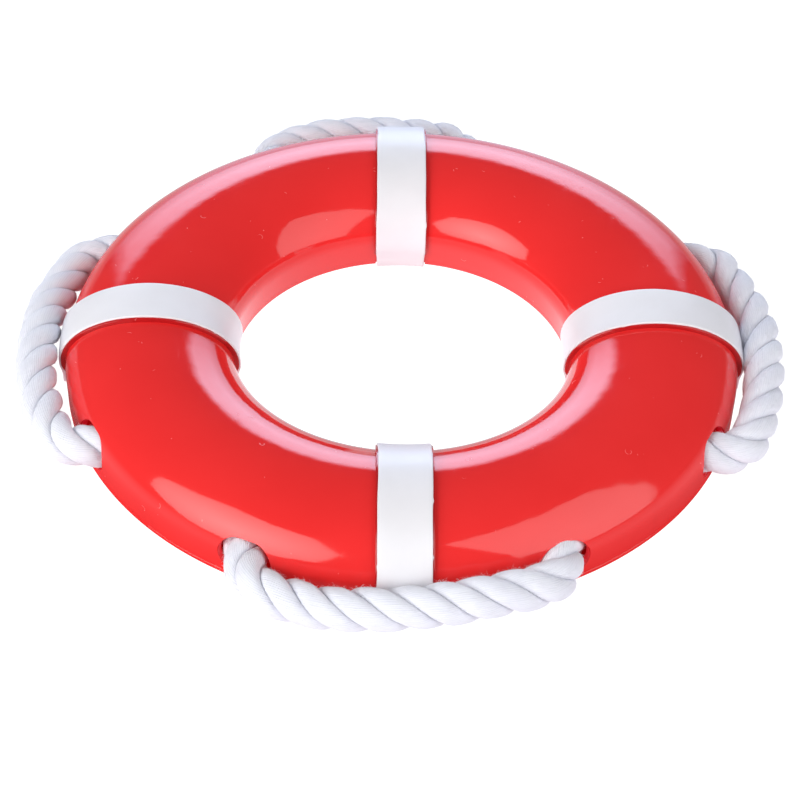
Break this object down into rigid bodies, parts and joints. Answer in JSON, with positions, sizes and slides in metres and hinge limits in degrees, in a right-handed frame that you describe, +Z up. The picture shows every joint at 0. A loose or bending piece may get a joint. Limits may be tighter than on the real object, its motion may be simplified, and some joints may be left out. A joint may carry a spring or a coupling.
{
  "type": "ring lifebuoy",
  "caption": "Small hollow ring lifebuoy with a flat-based D-section, white straps round it and a laid rope threaded through its rim as grab loops.",
  "frame": {"origin": "middle of the ring on the surface that it stands on", "axes": "+Z up along the ring's axis, -Y towards the front strap, +X towards the right strap"},
  "size_m": [0.2338, 0.2351, 0.027],
  "materials": {
    "shell_red": "glossy moulded red plastic",
    "strap_white": "satin moulded white plastic",
    "rope": "three-strand laid cotton, matt and slightly fuzzy",
    "sleeve": "clear shrink sleeve"
  },
  "bodies": {
    "ring": {"ring_shell": "shell_red", "base_plate": "shell_red", "strap_front": "strap_white", "strap_right": "strap_white", "strap_back": "strap_white", "strap_left": "strap_white", "grab_rope_run_front_right": "rope", "grab_rope_run_right_back": "rope", "grab_rope_run_left_front": "rope", "grab_rope_end_a": "rope", "grab_rope_end_b": "rope", "rope_sleeve": "sleeve"},
    "loop_front": {"grab_rope_loop_front": "rope"},
    "loop_right": {"grab_rope_loop_right": "rope"},
    "loop_back": {"grab_rope_loop_back": "rope"},
    "loop_left": {"grab_rope_loop_left": "rope"}
  },
  "joints": [
    {"name": "lift_loop_front", "type": "hinge", "parent": "ring", "child": "loop_front", "pos_m": [0, -0.092, 0.0092], "axis": [-1, 0, 0], "range_deg": [0, 45]},
    {"name": "lift_loop_right", "type": "hinge", "parent": "ring", "child": "loop_right", "pos_m": [0.092, 0, 0.0092], "axis": [0, -1, 0], "range_deg": [0, 45]},
    {"name": "lift_loop_back", "type": "hinge", "parent": "ring", "child": "loop_back", "pos_m": [0, 0.092, 0.0092], "axis": [1, 0, 0], "range_deg": [0, 45]},
    {"name": "lift_loop_left", "type": "hinge", "parent": "ring", "child": "loop_left", "pos_m": [-0.092, 0, 0.0092], "axis": [0, 1, 0], "range_deg": [0, 45]}
  ]
}
